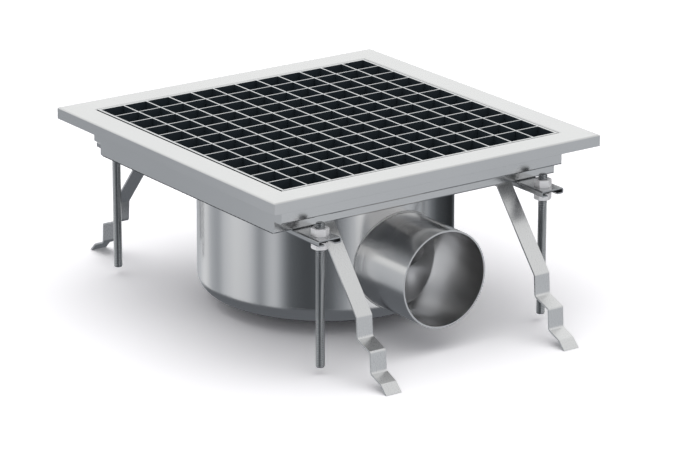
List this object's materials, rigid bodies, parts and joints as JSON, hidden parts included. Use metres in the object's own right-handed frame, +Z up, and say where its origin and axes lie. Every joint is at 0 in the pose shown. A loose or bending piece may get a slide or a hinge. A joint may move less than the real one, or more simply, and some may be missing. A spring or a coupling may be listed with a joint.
{
  "type": "floor drain",
  "caption": "Square stainless floor drain with a mesh grating, a stepped tray, a round sump with a side outlet, levelling rods and zigzag masonry anchors.",
  "frame": {"origin": "under the middle of the drain, at the level of the four anchor tips on which it stands", "axes": "+Z up through the grating, +Y from the front to the back and away from the outlet, +X from left to right along the front"},
  "size_m": [0.4334, 0.5914, 0.2075],
  "materials": {
    "tray_sheet": "fine brushed stainless sheet",
    "sump_sheet": "smooth drawn stainless sheet",
    "outlet_pipe": "smooth stainless tube",
    "grating_bar": "stainless flat bar",
    "threaded_rod": "threaded stainless rod",
    "bracket_sheet": "folded stainless sheet",
    "nut": "bright hexagon nut",
    "anchor_strap": "stainless flat strap",
    "basket_sheet": "slotted stainless sheet"
  },
  "bodies": {
    "drain": {"anchor_back_left": "anchor_strap", "anchor_back_right": "anchor_strap", "anchor_front_left": "anchor_strap", "anchor_front_right": "anchor_strap", "basket_collar": "basket_sheet", "basket_floor": "basket_sheet", "basket_handle": "basket_sheet", "basket_wall": "basket_sheet", "bearing_bar_01": "grating_bar", "bearing_bar_02": "grating_bar", "bearing_bar_03": "grating_bar", "bearing_bar_04": "grating_bar", "bearing_bar_05": "grating_bar", "bearing_bar_06": "grating_bar", "bearing_bar_07": "grating_bar", "bearing_bar_08": "grating_bar", "bearing_bar_09": "grating_bar", "bearing_bar_10": "grating_bar", "bearing_bar_11": "grating_bar", "cross_bar_01": "grating_bar", "cross_bar_02": "grating_bar", "cross_bar_03": "grating_bar", "cross_bar_04": "grating_bar", "cross_bar_05": "grating_bar", "cross_bar_06": "grating_bar", "cross_bar_07": "grating_bar", "cross_bar_08": "grating_bar", "cross_bar_09": "grating_bar", "cross_bar_10": "grating_bar", "cross_bar_11": "grating_bar", "edge_bar_back": "grating_bar", "edge_bar_front": "grating_bar", "edge_bar_left": "grating_bar", "edge_bar_right": "grating_bar", "levelling_bracket_back_left": "bracket_sheet", "levelling_bracket_back_right": "bracket_sheet", "levelling_bracket_front_left": "bracket_sheet", "levelling_bracket_front_right": "bracket_sheet", "lower_nut_back_left": "nut", "lower_nut_back_right": "nut", "lower_nut_front_left": "nut", "lower_nut_front_right": "nut", "outlet_neck": "outlet_pipe", "outlet_pipe": "outlet_pipe", "sump_base": "sump_sheet", "sump_wall": "sump_sheet", "tray_channel": "tray_sheet", "tray_end_left": "tray_sheet", "tray_end_right": "tray_sheet", "upper_nut_back_left": "nut", "upper_nut_back_right": "nut", "upper_nut_front_left": "nut", "upper_nut_front_right": "nut"},
    "rod_front_left": {"levelling_rod_front_left": "threaded_rod"},
    "rod_front_right": {"levelling_rod_front_right": "threaded_rod"},
    "rod_back_left": {"levelling_rod_back_left": "threaded_rod"},
    "rod_back_right": {"levelling_rod_back_right": "threaded_rod"}
  },
  "joints": [
    {"name": "rod_front_left_travel", "type": "slide", "parent": "drain", "child": "rod_front_left", "axis": [0, 0, 1], "range_m": [-0.005, 0.03]},
    {"name": "rod_front_right_travel", "type": "slide", "parent": "drain", "child": "rod_front_right", "axis": [0, 0, 1], "range_m": [-0.005, 0.03]},
    {"name": "rod_back_left_travel", "type": "slide", "parent": "drain", "child": "rod_back_left", "axis": [0, 0, 1], "range_m": [-0.005, 0.03]},
    {"name": "rod_back_right_travel", "type": "slide", "parent": "drain", "child": "rod_back_right", "axis": [0, 0, 1], "range_m": [-0.005, 0.03]}
  ]
}
